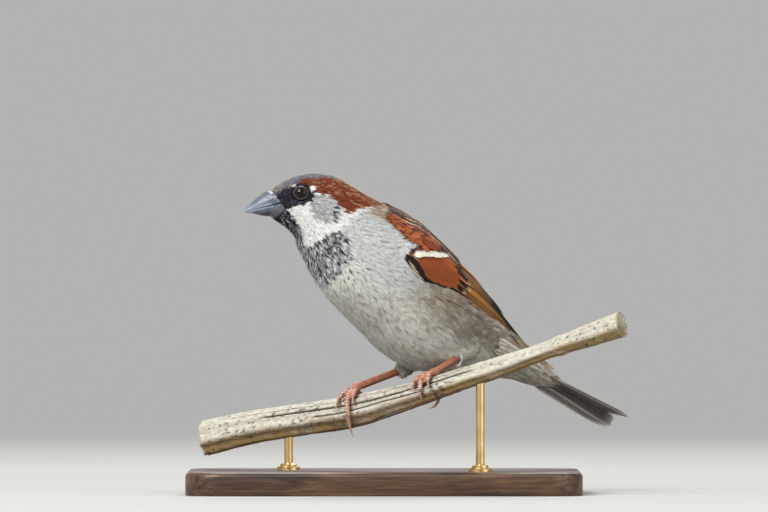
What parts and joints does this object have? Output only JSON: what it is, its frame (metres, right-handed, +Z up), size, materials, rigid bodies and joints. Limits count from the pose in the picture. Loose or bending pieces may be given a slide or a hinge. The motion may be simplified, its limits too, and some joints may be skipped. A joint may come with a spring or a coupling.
{
  "type": "male house sparrow model on a perch and display stand",
  "caption": "Life-size still model of a male house sparrow gripping a cut length of stem, on a plain display stand.",
  "frame": {"origin": "middle of the stand base's underside, on the floor", "axes": "+Z up; +X along the base's long side, from the bird's head end to its tail end; the bird faces -X and about 30 degrees towards -Y, with its left side towards -Y"},
  "size_m": [0.1549, 0.0963, 0.1105],
  "materials": {
    "plumage_head": "fine feather tufts, grey crown, chestnut band, black lores and bib, pale cheeks",
    "plumage_body": "soft loose contour feathers, grey-white breast and belly, streaked brown back",
    "plumage_wing": "smooth vanes with dark centres, rufous and buff edges and a white bar",
    "plumage_tail": "long smooth vanes, dark grey-brown with paler edges",
    "bill_horn": "satin blue-grey horn, paler at the cutting edges and tip",
    "eye": "wet, dark brown iris and black pupil",
    "leg_skin": "pinkish-brown scaled skin",
    "claw_horn": "smooth brown horn, paler at the tip",
    "stem": "dry split stem, cream with dark cracks and specks, ochre beneath",
    "stand_wood": "dark oiled wood, satin",
    "stand_brass": "brushed brass"
  },
  "bodies": {
    "root": {"head": "plumage_head", "neck": "plumage_head", "trunk": "plumage_body", "rump": "plumage_body", "thigh_left": "plumage_body", "thigh_right": "plumage_body", "wing_left_coverts": "plumage_wing", "wing_left_secondaries": "plumage_wing", "wing_left_primaries": "plumage_wing", "wing_right_coverts": "plumage_wing", "wing_right_secondaries": "plumage_wing", "wing_right_primaries": "plumage_wing", "tail": "plumage_tail", "bill_upper": "bill_horn", "bill_lower": "bill_horn", "eye_left": "eye", "eye_right": "eye", "tarsus_left": "leg_skin", "tarsus_right": "leg_skin", "foot_left": "leg_skin", "foot_right": "leg_skin", "toe_left_1": "leg_skin", "toe_left_2": "leg_skin", "toe_left_3": "leg_skin", "toe_left_4": "leg_skin", "toe_right_1": "leg_skin", "toe_right_2": "leg_skin", "toe_right_3": "leg_skin", "toe_right_4": "leg_skin", "claw_left_1": "claw_horn", "claw_left_2": "claw_horn", "claw_left_3": "claw_horn", "claw_left_4": "claw_horn", "claw_right_1": "claw_horn", "claw_right_2": "claw_horn", "claw_right_3": "claw_horn", "claw_right_4": "claw_horn", "stem": "stem", "stand_base": "stand_wood", "stand_rod_1": "stand_brass", "stand_rod_2": "stand_brass"}
  },
  "joints": []
}
